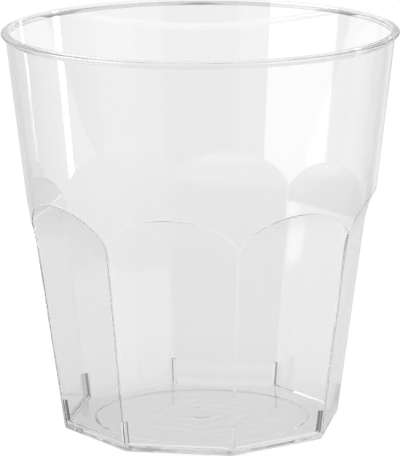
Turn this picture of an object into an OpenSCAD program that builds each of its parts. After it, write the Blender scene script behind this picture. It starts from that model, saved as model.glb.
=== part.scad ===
// Clear moulded tumbler: a round tapered upper wall that drops into flat facets,
// with a rounded rim, stacking ribs in the inner corners and a recessed underside.
// Sizes are in millimetres. The tumbler stands on z = 0, centred on the Z axis,
// with a corner between two facets on the X axis.

/* [Wall] */
// Overall height, foot to brim
height = 86.2; // [78:0.2:92]
// Outside diameter of the plain wall, carried up to the level of the brim
wall_d = 83.1; // [70:0.1:96]
// Lean of the plain wall from upright, in degrees
wall_lean = 6.6; // [6:0.05:7.1]
// Thickness of the wall, the same all the way down
wall_t = 0.75; // [0.6:0.05:1.1]

/* [Rim] */
// How far the rim's bead stands out from the wall, measured from the wall at the brim
rim_proud = 0.8; // [0.65:0.05:1.2]
// Radius of the bead
rim_round = 0.35; // [0.25:0.05:0.45]
// Drop from the brim to the top of the bead
rim_drop = 0.45; // [0.2:0.05:0.6]
// Height of the rim, from its underside's foot on the wall to the brim
rim_h = 1.7; // [1.6:0.1:2.6]
// Width of the brim's level crown
brim_w = 0.1; // [0.05:0.05:0.25]
// Radius of the brim's inner edge
brim_round = 0.25; // [0.2:0.05:0.45]

/* [Facets] */
// Number of flat facets round the lower wall
facets = 8; // [8:1:12]
// Depth of a facet's cut into the plain wall at the foot, in the middle of the facet
facet_cut = 3.7; // [3.3:0.05:4.2]
// Lean of a facet from upright, in degrees
facet_lean = 7.4; // [6.8:0.05:7.8]
// Height at which a facet starts to sweep out to the plain wall
scoop_z = 42; // [34:0.5:50]
// Radius of that sweep
scoop_r = 20; // [13:0.5:24]

/* [Foot] */
// Height of the floor's inner face above the foot
floor_t = 1.4; // [1.2:0.1:2.4]
// Radius where the inner walls meet the floor
floor_round = 1.2; // [0.6:0.1:1.8]
// Radius of the foot's outer edge
foot_round = 0.8; // [0.4:0.1:1.2]
// Width of the ring that the tumbler stands on, in the middle of a facet
ring_w = 4.9; // [3.5:0.1:9]
// Depth of the round recess inside that ring
recess_h = 0.5; // [0.4:0.1:0.7]
// Diameter of the moulding gate's stub in the middle of the recess
gate_d = 3; // [1.5:0.5:6]
// Height of that stub
gate_h = 0.25; // [0.1:0.05:0.3]

/* [Stacking ribs] */
// Width of a rib
rib_w = 1.2; // [1:0.1:2]
// How far a rib stands in from the inner corner that it fills
rib_d = 0.7; // [0.6:0.05:1.1]
// Height of a rib's top above the foot
rib_top = 6.6; // [4:0.2:12]
// Radius of a rib's two long edges
rib_round = 0.2; // [0.1:0.05:0.35]

/* [Output] */
// Piece to draw

/* [Hidden] */
$fn = 96;
// A rounding is set this much deeper than true tangency, so that it meets its faces in clean edges
bite = 0.01;
// Overlap of a cutting shape past the face that it cuts
over = 1;
half = 180 / facets;
// Distance across two opposite facets at the foot, and the diameter of the recess at its mouth
foot_flats = 2 * (wall_at(0, 0) - facet_cut);
recess_d = foot_flats - 2 * ring_w;
// Distance up a facet's slope to the start of its sweep
scoop_up = scoop_z / cos(facet_lean);
// Reach of the shape that cuts a facet, from the axis
cut_r = facet_at(scoop_z, 0) + scoop_r;
// Middle of the rim's bead, and the foot of its sloping underside
rim_mid = [wall_d / 2 + rim_proud - rim_round, height - rim_drop - rim_round];
rim_foot = [wall_at(height - rim_h, 0), height - rim_h];
// Reach of the brim's inner rounding along the faces that it joins, and the outer edge of the level crown
brim_ease = brim_round * tan(45 - wall_lean / 2);
crown = [wall_at(height, wall_t) + brim_ease + brim_w, height];
// Lean of the edge where two facets meet
corner_lean = atan(tan(facet_lean) / cos(half));

// Radius of the plain wall at height z, on a face that lies a skin deep in the wall
function wall_at(z, skin) = wall_d / 2 - (height - z) * tan(wall_lean) - skin / cos(wall_lean);

// Distance of a facet from the axis at height z, on a face that lies a skin deep
function facet_at(z, skin) = foot_flats / 2 + z * tan(facet_lean) - skin / cos(facet_lean);

// Section of the solid blank: the tapered wall, and a bead below the brim with a sloping face on each side
module blank_section() {
    drop = rim_foot - rim_mid;
    rise = crown - rim_mid;
    low = atan2(drop[1], drop[0]) + acos(rim_round / norm(drop));
    high = atan2(rise[1], rise[0]) - acos(rim_round / norm(rise));
    polygon([
        [0, 0],
        [wall_at(0, 0), 0],
        rim_foot,
        rim_mid + (rim_round - bite) * [cos(low), sin(low)],
        rim_mid,
        rim_mid + (rim_round - bite) * [cos(high), sin(high)],
        crown,
        [0, height]
    ]);
    translate(rim_mid)
        circle(r = rim_round);
}

// Section of the hollow: the inner wall, eased at the brim
module hollow_section() {
    edge = wall_at(height, wall_t);
    polygon([
        [0, floor_t],
        [wall_at(floor_t, wall_t), floor_t],
        [wall_at(height + over, wall_t), height + over],
        [0, height + over]
    ]);
    difference() {
        polygon([
            [edge - over, height + over],
            [edge - over - brim_ease * sin(wall_lean), height - brim_ease * cos(wall_lean)],
            [edge - brim_ease * sin(wall_lean), height - brim_ease * cos(wall_lean)],
            [edge + brim_ease, height - brim_round],
            [edge + brim_ease, height + over]
        ]);
        translate([edge + brim_ease - bite, height - brim_round + bite])
            circle(r = brim_round);
    }
}

// Section that cuts one facet and its sweep out to the wall, drawn upright and then leaned
module facet_section(skin) {
    translate([foot_flats / 2, 0])
        rotate(-facet_lean) {
            translate([-skin, -2 * over])
                square([skin + scoop_r, scoop_up + 2 * over]);
            translate([scoop_r, scoop_up])
                circle(r = skin + scoop_r);
        }
}

// Section that rounds the bottom edge of a facet
module toe_section(skin, bottom, toe_round) {
    toe = toe_round * tan(45 - facet_lean / 2);
    heel = facet_at(bottom, skin);
    top = [heel + toe * sin(facet_lean), bottom + toe * cos(facet_lean)];
    difference() {
        polygon([
            [heel - toe, bottom - over],
            [heel + over, bottom - over],
            [top[0] + over, top[1]],
            top,
            [heel - toe, bottom + toe_round]
        ]);
        translate([heel - toe + bite, bottom + toe_round - bite])
            circle(r = toe_round);
    }
}

// All the facets, as one cutting shape
module facet_cuts(skin, bottom, toe_round) {
    for (i = [0 : facets - 1])
        rotate([90, 0, half + i * 360 / facets])
            linear_extrude(height = 2 * cut_r * tan(half), center = true) {
                facet_section(skin);
                toe_section(skin, bottom, toe_round);
            }
}

// The space inside: the blank's form, one wall thickness smaller
module hollow() {
    difference() {
        rotate_extrude()
            hollow_section();
        facet_cuts(wall_t, floor_t, floor_round);
    }
}

// Section of a rib, with its nose towards the axis at x = 0 and its root in the wall
module rib_section() {
    root = rib_d + wall_t / 3;
    translate([0, rib_round - rib_w / 2])
        square([root, rib_w - 2 * rib_round]);
    translate([rib_round, -rib_w / 2])
        square([root - rib_round, rib_w]);
    for (side = [-1, 1])
        translate([rib_round, side * (rib_w / 2 - rib_round)])
            circle(r = rib_round);
}

// One rib leans with the inner corner that it fills, and ends level at the top
module rib() {
    corner = facet_at(0, wall_t) / cos(half);
    intersection() {
        translate([corner - rib_d, 0, 0])
            rotate([0, corner_lean, 0])
                linear_extrude(height = rib_top + 2 * over)
                    rib_section();
        translate([0, -rib_w, floor_t / 2])
            cube([2 * corner, 2 * rib_w, rib_top - floor_t / 2]);
    }
}

// Shallow recess that leaves the tumbler standing on a ring
module recess() {
    translate([0, 0, -over])
        cylinder(h = over + recess_h, d1 = recess_d + 2 * over, d2 = recess_d - 2 * recess_h);
}

// Stub of the moulding gate, which stops short of the foot
module gate() {
    translate([0, 0, recess_h - gate_h])
        cylinder(h = gate_h + floor_t / 4, d = gate_d);
}

module tumbler() {
    color([0.93, 0.95, 0.95, 0.35]) {
        difference() {
            rotate_extrude()
                blank_section();
            facet_cuts(0, 0, foot_round);
            hollow();
            recess();
        }
        for (i = [0 : facets - 1])
            rotate([0, 0, i * 360 / facets])
                rib();
        gate();
    }
}

tumbler();
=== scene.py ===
import math

import bpy
from mathutils import Matrix, Vector


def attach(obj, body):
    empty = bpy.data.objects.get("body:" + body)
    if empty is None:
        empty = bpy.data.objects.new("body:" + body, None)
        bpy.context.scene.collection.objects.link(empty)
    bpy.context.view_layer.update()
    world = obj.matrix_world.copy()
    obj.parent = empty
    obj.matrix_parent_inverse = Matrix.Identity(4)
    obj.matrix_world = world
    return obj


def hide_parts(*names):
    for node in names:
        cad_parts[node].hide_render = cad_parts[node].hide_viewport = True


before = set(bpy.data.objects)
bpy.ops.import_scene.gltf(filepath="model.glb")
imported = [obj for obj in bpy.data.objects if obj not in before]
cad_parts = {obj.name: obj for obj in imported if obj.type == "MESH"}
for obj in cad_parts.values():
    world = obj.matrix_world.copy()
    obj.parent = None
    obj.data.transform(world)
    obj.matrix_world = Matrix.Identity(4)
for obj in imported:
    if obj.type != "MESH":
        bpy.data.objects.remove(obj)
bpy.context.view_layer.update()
scene = bpy.context.scene
print("frame loaded")


def clearSelection():
    if bpy.context.object and bpy.context.object.mode != "OBJECT":
        bpy.ops.object.mode_set(mode="OBJECT")
    bpy.ops.object.select_all(action="DESELECT")


def focusOn(obj):
    clearSelection()
    obj.select_set(True)
    bpy.context.view_layer.objects.active = obj


# sizes of the moulding, in millimetres and degrees
cup = {
    "height": 86.2, "wallD": 83.1, "wallLean": 6.6, "wallT": 0.75,
    "rimProud": 0.785, "rimRound": 0.37, "rimDrop": 0.38, "rimH": 1.7, "ledgeStep": 0.12,
    "facets": 8, "facetCut": 3.7, "facetLean": 7.4, "scoopZ": 42.0, "scoopR": 20.0,
    "floorT": 1.4, "floorRound": 1.2, "footRound": 0.8,
    "ringW": 4.9, "recessH": 0.5, "gateD": 3.0, "gateH": 0.25,
    "ribW": 1.2, "ribD": 1.0, "ribTop": 6.6, "ribRound": 0.1, "ribNose": 0.5,
    # how far each soft edge reaches from the sharp one
    "archSoft": 0.15, "cornerSoft": 0.34, "innerSoft": 0.08,
    "underSoft": 0.06, "rimSoft": 0.12, "ledgeSoft": 0.05,
}
# rows and columns of the mesh on each stretch, and shares of a facet or of the floor where some lie
fineness = {
    "toe": 10, "facet": 10, "scoop": 14, "arch": 6, "wall": 12, "rimFoot": 5, "bead": 16, "lip": 24,
    "edge": 4, "flat": 20, "corner": 6, "ribEdge": 6, "halvings": 50,
    "flatShare": 0.95, "edgeShare": 0.985, "floorShares": (0.01, 0.1, 0.3, 0.5, 0.7, 0.9),
    # millimetres: top of the arch search above the scoop, and where the wall's rows end below the brim
    "archReach": 14, "outsideEnd": 2.3, "insideEnd": 1.2,
}
wallTan = math.tan(math.radians(cup["wallLean"]))
wallCos = math.cos(math.radians(cup["wallLean"]))
facetTan = math.tan(math.radians(cup["facetLean"]))
facetCos = math.cos(math.radians(cup["facetLean"]))
facetSin = math.sin(math.radians(cup["facetLean"]))
half = math.pi / cup["facets"]  # half of a facet's turn
cornerReach = 1 / math.cos(half)  # how much further out a corner is than a facet's middle


# radius of the plain wall, on a face that lies a skin deep in it
def wallAt(z, skin):
    return cup["wallD"] / 2 - (cup["height"] - z) * wallTan - skin / wallCos


footHalf = wallAt(0, 0) - cup["facetCut"]


# distance of a facet from the axis, with its sweep out to the wall
def facetAt(z, skin):
    if z <= cup["scoopZ"]:
        return footHalf + z * facetTan - skin / facetCos
    middleX = footHalf + cup["scoopZ"] * facetTan + cup["scoopR"] * facetCos
    middleZ = cup["scoopZ"] - cup["scoopR"] * facetSin
    radius = cup["scoopR"] + skin
    return middleX - math.sqrt(max(radius ** 2 - (z - middleZ) ** 2, 0))


# points on an arc, from a start to an end in degrees
def arcPoints(middle, radius, start, end, steps):
    turns = [math.radians(start + (end - start) * i / steps) for i in range(steps + 1)]
    return [(middle[0] + radius * math.cos(t), middle[1] + radius * math.sin(t)) for t in turns]


def between(a, b, t):
    return (a[0] + (b[0] - a[0]) * t, a[1] + (b[1] - a[1]) * t)


def toward(a, b, reach):
    return between(a, b, reach / math.hypot(b[0] - a[0], b[1] - a[1]))


# a spot on the soft corner that runs from a to b
def softSpot(a, corner, b, t):
    return between(between(a, corner, t), between(corner, b, t), t)


def softCorner(a, corner, b, steps):
    return [softSpot(a, corner, b, i / steps) for i in range(steps + 1)]


# rounds every inner point of a section, with a row close on each side to keep the flats flat
def softSection(points, reach, steps):
    out = [points[0]]
    for a, corner, b in zip(points, points[1:], points[2:]):
        out.append(toward(corner, a, 2 * reach))
        out += softCorner(toward(corner, a, reach), corner, toward(corner, b, reach), steps)
        out.append(toward(corner, b, 2 * reach))
    return out + [points[-1]]


# the place between low and high where the test stops being true
def turningPoint(low, high, test):
    for i in range(fineness["halvings"]):
        middle = (low + high) / 2
        if test(middle):
            low = middle
        else:
            high = middle
    return low


# half a facet's flat width before its soft corner, on a facet that is 1 from the axis
def flatWidth(soft):
    return math.tan(half) - soft / facetAt(cup["scoopZ"], 0)


# how much further out than a facet's middle the soft-cornered outline lies, at an angle from that middle
def outlineReach(angle, soft):
    flat = flatWidth(soft)
    angle = abs(angle)
    if math.tan(angle) <= flat:
        return 1 / math.cos(angle)
    edge, corner = (1, flat), (1, math.tan(half))
    nextX = math.cos(2 * half) + math.sin(2 * half) * flat
    nextY = math.sin(2 * half) - math.cos(2 * half) * flat

    def spotAt(t):
        return softSpot(edge, corner, (nextX, nextY), t)

    t = turningPoint(0.0, 0.5, lambda t: math.atan2(spotAt(t)[1], spotAt(t)[0]) < angle)
    return math.hypot(*spotAt(t))


# columns round the cup: (angle, reach of the outside, reach of the inside)
def cupColumns():
    bend = math.atan(flatWidth(cup["cornerSoft"]))
    flat, corner = fineness["flat"], fineness["corner"]
    turns = [-bend, -bend * fineness["edgeShare"]]
    turns += [bend * fineness["flatShare"] * (2 * i / flat - 1) for i in range(flat + 1)]
    turns += [bend * fineness["edgeShare"]]
    turns += [bend + (half - bend) * 2 * i / corner for i in range(corner)]
    columns = []
    for i in range(cup["facets"]):
        for t in turns:
            near = t if t <= half else t - 2 * half
            outside, inside = outlineReach(near, cup["cornerSoft"]), outlineReach(near, cup["innerSoft"])
            columns.append((half + i * 2 * half + t, outside, inside))
    return columns + [(columns[0][0] + 2 * math.pi, *columns[0][1:])]


# foot's rounded edge, facet, sweep, soft arch and plain wall, going up
def sideRows(skin, bottom, toeRound, top, out):
    toe = toeRound * math.tan(math.radians(45 - cup["facetLean"] / 2))
    middle = (facetAt(bottom, skin) - toe, bottom + toeRound)
    rows = [(x * out, z) for x, z in arcPoints(middle, toeRound, -90, -cup["facetLean"], fineness["toe"])]
    start = rows[-1][1]
    for i in range(1, fineness["facet"] + 1):
        z = start + (cup["scoopZ"] - start) * i / fineness["facet"]
        rows.append((facetAt(z, skin) * out, z))

    scoopZ, soft = cup["scoopZ"], cup["archSoft"]
    archZ = turningPoint(
        scoopZ, scoopZ + fineness["archReach"], lambda z: facetAt(z, skin) * out < wallAt(z, skin))
    before = (facetAt(archZ - soft, skin) * out, archZ - soft)
    after = (wallAt(archZ + soft, skin), archZ + soft)
    for i in range(1, fineness["scoop"] + 1):
        z = scoopZ + (before[1] - soft - scoopZ) * i / fineness["scoop"]
        rows.append((facetAt(z, skin) * out, z))
    rows += softCorner(before, (wallAt(archZ, skin), archZ), after, fineness["arch"])

    start = after[1] + soft
    for i in range(fineness["wall"]):
        z = start + (top - start) * i / (fineness["wall"] - 1)
        rows.append((wallAt(z, skin), z))
    return rows


# a bead on the wall, a narrow ledge on top of it and a full-round lip above
def rimRows(below):
    top, lipR = cup["height"], cup["wallT"] / 2
    foot = (wallAt(top - cup["rimH"], 0), top - cup["rimH"])
    middle = (cup["wallD"] / 2 + cup["rimProud"] - cup["rimRound"], top - cup["rimDrop"] - cup["rimRound"])
    drop = (foot[0] - middle[0], foot[1] - middle[1])
    low = math.degrees(math.atan2(drop[1], drop[0]) + math.acos(cup["rimRound"] / math.hypot(*drop)))
    bead = arcPoints(middle, cup["rimRound"], low, 90, fineness["bead"])
    ledge = (wallAt(bead[-1][1], 0), bead[-1][1])
    start = math.degrees(math.asin((lipR + cup["ledgeStep"] - cup["rimDrop"]) / lipR))
    lipMiddle = (wallAt(top - lipR, lipR), top - lipR)
    lip = arcPoints(lipMiddle, lipR, start, 180 - cup["wallLean"], fineness["lip"])
    rows = softSection([below, foot, bead[0]], cup["rimSoft"], fineness["rimFoot"])[1:-1] + bead
    return rows + softSection([bead[-1], ledge, lip[0]], cup["ledgeSoft"], fineness["edge"])[1:-1] + lip


# one section of the whole cup: underside, outside, rim, inside, floor
def cupSection(out, outInside):
    top, recessH, floorT = cup["height"], cup["recessH"], cup["floorT"]
    gateR, recessR = cup["gateD"] / 2, footHalf - cup["ringW"]
    outside = sideRows(0, 0, cup["footRound"], top - fineness["outsideEnd"], out)
    under = softSection([
        (0, recessH - cup["gateH"]), (gateR, recessH - cup["gateH"]), (gateR, recessH),
        (recessR - recessH, recessH), (recessR, 0), outside[0],
    ], cup["underSoft"], fineness["edge"])
    inside = sideRows(cup["wallT"], floorT, cup["floorRound"], top - fineness["insideEnd"], outInside)
    inside.reverse()
    floor = [between(inside[-1], (0, floorT), t) for t in fineness["floorShares"]] + [(0, floorT)]
    return under[:-1] + outside + rimRows(outside[-1]) + inside + floor


# a flat grid is wrapped round the axis, one column of it for each section
def wrapShell():
    columns = cupColumns()
    sections = [cupSection(out, outInside) for angle, out, outInside in columns]
    across, along = len(columns), len(sections[0])
    clearSelection()
    bpy.ops.mesh.primitive_grid_add(
        x_subdivisions=across - 1, y_subdivisions=along - 1, size=2, location=(0, 0, 0))
    obj = bpy.context.object
    obj.name = "tumblerShell"
    for i, v in enumerate(obj.data.vertices):
        angle = columns[i % across][0]
        reach, z = sections[i % across][i // across]
        v.co = (reach * math.cos(angle), reach * math.sin(angle), z)
    bpy.ops.object.mode_set(mode="EDIT")
    bpy.ops.mesh.select_all(action="SELECT")
    bpy.ops.mesh.remove_doubles(threshold=0.0005)
    bpy.ops.mesh.normals_make_consistent(inside=False)
    bpy.ops.object.mode_set(mode="OBJECT")
    return obj


# one rib leans with its corner and narrows to its nose, and is copied round
def makeRibs():
    low, high = cup["floorT"] / 2, cup["ribTop"]
    middle = (high + low) / 2
    lean = (high - low) * facetTan * cornerReach
    root = cup["ribD"] + cup["wallT"] / 3
    near = facetAt(low, cup["wallT"]) * cornerReach - cup["ribD"]

    def onNose(p):
        return p.x < near + root / 2 + lean * (p.z - low) / (high - low)

    clearSelection()
    bpy.ops.mesh.primitive_cube_add(size=1, location=(0, 0, 0))
    obj = bpy.context.object
    obj.name = "ribs"
    bpy.ops.object.mode_set(mode="EDIT")
    bpy.ops.transform.resize(value=(root, cup["ribW"], high - low))
    bpy.ops.transform.translate(value=(near + root / 2, 0, middle))
    bpy.ops.mesh.select_all(action="DESELECT")
    bpy.ops.object.mode_set(mode="OBJECT")
    for v in obj.data.vertices:
        v.select = v.co.z > middle
    bpy.ops.object.mode_set(mode="EDIT")
    bpy.ops.transform.translate(value=(lean, 0, 0))
    bpy.ops.mesh.select_all(action="DESELECT")
    bpy.ops.object.mode_set(mode="OBJECT")
    for v in obj.data.vertices:
        if onNose(v.co):
            v.co.y *= cup["ribNose"]
    # the nose's two long edges and its top edge are rounded
    for e in obj.data.edges:
        a, b = (obj.data.vertices[i].co for i in e.vertices)
        e.select = onNose(a) and onNose(b) and max(a.z, b.z) > middle
    bpy.ops.object.mode_set(mode="EDIT")
    bpy.ops.mesh.select_mode(type="EDGE")
    bpy.ops.mesh.bevel(offset=cup["ribRound"], segments=fineness["ribEdge"], profile=0.5, affect="EDGES")
    bpy.ops.mesh.select_mode(type="VERT")
    bpy.ops.mesh.select_all(action="SELECT")
    for i in range(cup["facets"] - 1):
        bpy.ops.mesh.duplicate()
        bpy.ops.transform.rotate(value=2 * half, orient_axis="Z", center_override=(0, 0, 0))
    bpy.ops.mesh.select_all(action="SELECT")
    bpy.ops.mesh.normals_make_consistent(inside=False)
    bpy.ops.object.mode_set(mode="OBJECT")
    return obj


def makeTumbler():
    shell = wrapShell()
    ribs = makeRibs()
    focusOn(shell)
    join = shell.modifiers.new("ribsOn", "BOOLEAN")
    join.operation = "UNION"
    join.solver = "EXACT"
    join.object = ribs
    bpy.ops.object.modifier_apply(modifier=join.name)
    ribMesh = ribs.data
    bpy.data.objects.remove(ribs)
    bpy.data.meshes.remove(ribMesh)
    # millimetres to metres
    shell.scale = (0.001, 0.001, 0.001)
    bpy.ops.object.transform_apply(location=True, rotation=True, scale=True)
    bpy.ops.object.shade_smooth_by_angle(angle=math.radians(40))
    return shell


tumbler = makeTumbler()
print("tumbler modelled", len(tumbler.data.polygons), "faces")


# a number or colour is set on the plug, and another node's output is linked to it
def feed(tree, plug, value):
    if isinstance(value, (int, float, tuple)):
        plug.default_value = value
    else:
        tree.links.new(value, plug)


def calc(tree, operation, *values):
    node = tree.nodes.new("ShaderNodeMath")
    node.operation = operation
    for plug, value in zip(node.inputs, values):
        feed(tree, plug, value)
    return node.outputs[0]


def remap(tree, value, low, high, toLow=0, toHigh=1):
    node = tree.nodes.new("ShaderNodeMapRange")
    limits = {"Value": value, "From Min": low, "From Max": high, "To Min": toLow, "To Max": toHigh}
    for name, limit in limits.items():
        feed(tree, node.inputs[name], limit)
    return node.outputs[0]


# greys, each at its share of the way along
def greyRamp(tree, share, stops):
    node = tree.nodes.new("ShaderNodeValToRGB")
    ramp = node.color_ramp
    while len(ramp.elements) < len(stops):
        ramp.elements.new(0.5)
    for stop, (position, grey) in zip(ramp.elements, stops):
        stop.position = position
        stop.color = (grey, grey, grey, 1)
    tree.links.new(share, node.inputs["Fac"])
    return node.outputs["Color"]


def mixColours(tree, share, a, b):
    node = tree.nodes.new("ShaderNodeMixRGB")
    for name, value in {"Fac": share, "Color1": a, "Color2": b}.items():
        feed(tree, node.inputs[name], value)
    return node.outputs["Color"]


def noise(tree, place, scale, detail, roughness=0.5):
    node = tree.nodes.new("ShaderNodeTexNoise")
    for name, value in {"Vector": place, "Scale": scale, "Detail": detail, "Roughness": roughness}.items():
        feed(tree, node.inputs[name], value)
    return node.outputs["Fac"]


# clear moulded plastic, its grey a little darker towards the foot: clearness is (height in metres, grey)
# scales are per metre, and rises, lines and ends are in metres
plastic = {
    "ior": 1.59, "polish": 0.018, "haze": 0.05, "hazeScale": 60, "hazeRange": (0.5, 0.75),
    "clearness": [(0.0, 0.85), (0.012, 0.89), (0.044, 0.9), (0.054, 0.925), (0.0862, 0.93)],
    "flowScale": 55, "flowRise": 0.00002, "drawScale": (420, 420, 9), "drawShare": 0.05,
    # painted shade on the ribs' nose edges: its grey, the width of its line and the ease of its mask's edges
    "ribShadeGrey": 0.1, "ribShadeWidth": 0.00015, "ribShadeEase": 0.00002,
    "rippleScale": 70, "rippleShare": 1.4, "rippleTop": 0.0022, "rippleLow": 0.00154, "rippleEnd": 0.019,
    "ripple": {"Distortion": 6, "Detail": 2, "Detail Scale": 1.5},
}


def clearPlastic():
    mat = bpy.data.materials.new("clearPlastic")
    mat.use_nodes = True
    tree = mat.node_tree
    nodes, links = tree.nodes, tree.links
    nodes.clear()
    out = nodes.new("ShaderNodeOutputMaterial")
    body = nodes.new("ShaderNodeBsdfPrincipled")
    body.inputs["IOR"].default_value = plastic["ior"]
    body.inputs["Transmission Weight"].default_value = 1
    place = nodes.new("ShaderNodeTexCoord").outputs["Object"]
    split = nodes.new("ShaderNodeSeparateXYZ")
    links.new(place, split.inputs[0])
    x, y, z = split.outputs
    far = calc(tree, "SQRT", calc(tree, "ADD", calc(tree, "MULTIPLY", x, x), calc(tree, "MULTIPLY", y, y)))

    # clearness by height
    top = cup["height"] / 1000
    tone = greyRamp(tree, remap(tree, z, 0, top), [(rise / top, grey) for rise, grey in plastic["clearness"]])

    # painted shade: the ribs are given a dark tone along the nose's two edges, standing in for the dark
    # outlines the clear ribs show there;
    # its mask is a step to each side of a corner, inside it, and between the floor and the rib's top
    aside = calc(tree, "MULTIPLY", far, calc(tree, "PINGPONG", calc(tree, "ARCTAN2", y, x), half))
    inward = calc(tree, "SUBTRACT", far, calc(tree, "MULTIPLY", z, facetTan * cornerReach))
    noseEdge, ease = cup["ribW"] * cup["ribNose"] / 2000, plastic["ribShadeEase"]
    ribShadeMask = calc(tree, "GREATER_THAN", aside, noseEdge - ease)
    for limit in (
        calc(tree, "LESS_THAN", aside, noseEdge + plastic["ribShadeWidth"]),
        calc(tree, "LESS_THAN", inward, facetAt(0, cup["wallT"]) * cornerReach / 1000 + ease),
        calc(tree, "LESS_THAN", z, cup["ribTop"] / 1000 + ease),
        calc(tree, "GREATER_THAN", z, cup["floorT"] / 1000 + ease),
    ):
        ribShadeMask = calc(tree, "MULTIPLY", ribShadeMask, limit)
    # the near-black grey of the painted shade along the rib edges
    paintedRibShade = (plastic["ribShadeGrey"], plastic["ribShadeGrey"], plastic["ribShadeGrey"], 1)
    links.new(mixColours(tree, ribShadeMask, tone, paintedRibShade), body.inputs["Base Color"])

    # handling haze in cloudy patches
    cloud = noise(tree, place, plastic["hazeScale"], 5, 0.6)
    dull = remap(tree, cloud, *plastic["hazeRange"], plastic["polish"], plastic["haze"])
    links.new(dull, body.inputs["Roughness"])

    # slow waves where the melt flowed, with fine upright lines where the mould drew off
    flow = noise(tree, place, plastic["flowScale"], 1)
    pull = nodes.new("ShaderNodeMapping")
    pull.inputs["Scale"].default_value = plastic["drawScale"]
    links.new(place, pull.inputs["Vector"])
    skin = calc(tree, "MULTIPLY_ADD", noise(tree, pull.outputs[0], 1, 2), plastic["drawShare"], flow)

    # ripples round the gate, on the floor only, which fade out before the ring
    ring = nodes.new("ShaderNodeTexWave")
    ring.wave_type = "RINGS"
    ring.rings_direction = "Z"
    for name, value in {"Vector": place, "Scale": plastic["rippleScale"], **plastic["ripple"]}.items():
        feed(tree, ring.inputs[name], value)
    low = remap(tree, z, plastic["rippleTop"], plastic["rippleLow"], 0, plastic["rippleShare"])
    fade = remap(tree, far, plastic["rippleEnd"], plastic["rippleEnd"] / 2)
    skin = calc(tree, "MULTIPLY_ADD", ring.outputs["Fac"], calc(tree, "MULTIPLY", low, fade), skin)
    bump = nodes.new("ShaderNodeBump")
    bump.inputs["Strength"].default_value = 1
    bump.inputs["Distance"].default_value = plastic["flowRise"]
    links.new(skin, bump.inputs["Height"])
    links.new(bump.outputs[0], body.inputs["Normal"])

    links.new(body.outputs[0], out.inputs["Surface"])
    return mat


tumbler.data.materials.clear()
tumbler.data.materials.append(clearPlastic())
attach(tumbler, "root")
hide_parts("tumbler")
print("materials set")

# camera where the photograph was taken from: millimetres, degrees, pixels
shot = {
    "dist": 845.96, "elev": 12.3006, "aimZ": 42.7124, "side": -0.2763, "roll": -0.3016,
    "turn": -12.0899, "focal": 3941.87, "longSide": 456, "sensor": 36,
}


def placeCamera():
    elev, roll = math.radians(shot["elev"]), math.radians(shot["roll"])
    back, rise = shot["dist"] * math.cos(elev), shot["dist"] * math.sin(elev)
    spot = Vector((shot["side"], -back, shot["aimZ"] + rise)) / 1000
    ahead = Vector((0, math.cos(elev), -math.sin(elev)))
    level = Vector((1, 0, 0))
    upright = level.cross(ahead)
    right = level * math.cos(roll) + upright * math.sin(roll)
    up = upright * math.cos(roll) - level * math.sin(roll)
    place = Matrix((
        (right.x, up.x, -ahead.x, spot.x),
        (right.y, up.y, -ahead.y, spot.y),
        (right.z, up.z, -ahead.z, spot.z),
        (0, 0, 0, 1),
    ))
    clearSelection()
    bpy.ops.object.camera_add()
    cam = bpy.context.object
    cam.name = "photoCamera"
    cam.data.sensor_width = shot["sensor"]
    cam.data.lens = shot["focal"] * shot["sensor"] / shot["longSide"]
    cam.data.clip_start = 0.01
    cam.data.clip_end = 50
    cam.matrix_world = Matrix.Rotation(math.radians(shot["turn"]), 4, "Z") @ place
    scene.camera = cam


placeCamera()
print("camera placed")

# studio: a pale lit table, soft lamps named by where they stand as seen from the camera
# angle is degrees round from the camera, positive to the right; glow is the brightness of the lamp's face
# tones are (angle, grey), and a rise is the climb of a ray over which one band of tones changes to the next
studio = {
    "floorSize": 8, "floorDrop": 0.00005, "floorColour": (0.1, 0.1, 0.1), "floorGlow": 0.96, "bounces": 112,
    "groundTones": [
        (-180, 0.6), (-165, 0.6), (-150, 0.22), (-124, 0.22), (-104, 0.4), (-96, 0.58), (-56, 0.92),
        (79, 1.0), (101, 0.7), (124, 0.3), (146, 0.25), (157, 0.7), (170, 0.7), (180, 0.6),
    ],
    "roomTones": [
        (-180, 0.08), (-110, 0.1), (-92, 0.22), (-60, 0.4), (-27, 0.44), (-21, 0.04),
        (21, 0.04), (27, 0.46), (60, 0.44), (100, 0.27), (130, 0.1), (180, 0.08),
    ],
    "upperTones": [
        (-180, 0.16), (-154, 0.18), (-138, 0.55), (-105, 0.5),
        (105, 0.5), (138, 0.55), (154, 0.18), (180, 0.16),
    ],
    "roomRise": (-0.14, -0.06), "upperRise": (0.3, 0.45),
    "lamps": [
        {"name": "overhead", "angle": 0, "far": 0.0, "high": 1.5, "size": (1.8, 1.8), "glow": 0.25},
        {"name": "leftBox", "angle": -70, "far": 0.8, "high": 0.36, "size": (0.76, 0.8), "glow": 1.9},
        {"name": "rightStrip", "angle": 102, "far": 0.6, "high": 0.06, "size": (0.052, 0.1), "glow": 6.0},
        {"name": "farStrip", "angle": 144, "far": 0.6, "high": 0.06, "size": (0.015, 0.1), "glow": 5.0},
        {"name": "backdrop", "angle": 180, "far": 2.0, "high": 1.0, "size": (4.0, 2.0), "glow": 0.71},
    ],
}


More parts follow.
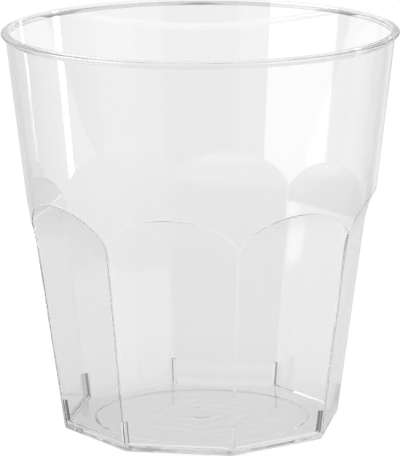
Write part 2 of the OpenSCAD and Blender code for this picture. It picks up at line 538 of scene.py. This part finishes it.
def makeFloor():
    clearSelection()
    bpy.ops.mesh.primitive_plane_add(size=studio["floorSize"], location=(0, 0, -studio["floorDrop"]))
    floor = bpy.context.object
    floor.name = "floor"
    mat = bpy.data.materials.new("paleFloor")
    mat.use_nodes = True
    body = mat.node_tree.nodes["Principled BSDF"]
    body.inputs["Base Color"].default_value = (*studio["floorColour"], 1)
    body.inputs["Roughness"].default_value = 0.9
    body.inputs["Specular IOR Level"].default_value = 0.0
    body.inputs["Emission Color"].default_value = (1, 1, 1, 1)
    body.inputs["Emission Strength"].default_value = studio["floorGlow"]
    floor.data.materials.append(mat)
    floor.visible_glossy = False


def placeLamps():
    for lamp in studio["lamps"]:
        a = math.radians(shot["turn"] + lamp["angle"])
        spot = Vector((math.sin(a) * lamp["far"], -math.cos(a) * lamp["far"], lamp["high"]))
        aim = Vector((0, 0, lamp["high"] if lamp["far"] else 0))
        clearSelection()
        bpy.ops.object.light_add(type="AREA", location=spot)
        lit = bpy.context.object
        lit.name = lamp["name"]
        lit.data.shape = "RECTANGLE"
        lit.data.size, lit.data.size_y = lamp["size"]
        lit.data.energy = lamp["glow"] * math.pi * lamp["size"][0] * lamp["size"][1]
        lit.rotation_euler = (aim - spot).to_track_quat("-Z", "Y").to_euler()


# a plain room whose greys go round the cup in three bands: below the table's level, above it and overhead
def setWorld():
    world = bpy.data.worlds.new("studioWorld")
    world.use_nodes = True
    tree = world.node_tree
    place = tree.nodes.new("ShaderNodeTexCoord").outputs["Generated"]
    a = math.radians(shot["turn"])

    def along(way):
        dot = tree.nodes.new("ShaderNodeVectorMath")
        dot.operation = "DOT_PRODUCT"
        dot.inputs[1].default_value = way
        tree.links.new(place, dot.inputs[0])
        return dot.outputs["Value"]

    turn = calc(tree, "ARCTAN2", along((math.cos(a), math.sin(a), 0)), along((math.sin(a), -math.cos(a), 0)))
    share = remap(tree, turn, -math.pi, math.pi)
    climb = along((0, 0, 1))

    def band(name):
        return greyRamp(tree, share, [((angle + 180) / 360, grey) for angle, grey in studio[name]])

    tones = mixColours(tree, remap(tree, climb, *studio["roomRise"]), band("groundTones"), band("roomTones"))
    tones = mixColours(tree, remap(tree, climb, *studio["upperRise"]), tones, band("upperTones"))
    tree.links.new(tones, tree.nodes["Background"].inputs["Color"])
    scene.world = world
    scene.view_settings.view_transform = "Standard"


# light runs along inside the wall before it leaves at a corner, so paths are long
def setBounces():
    scene.cycles.max_bounces = studio["bounces"]
    scene.cycles.glossy_bounces = studio["bounces"]
    scene.cycles.transmission_bounces = studio["bounces"]


makeFloor()
placeLamps()
setWorld()
setBounces()
print("studio lit")
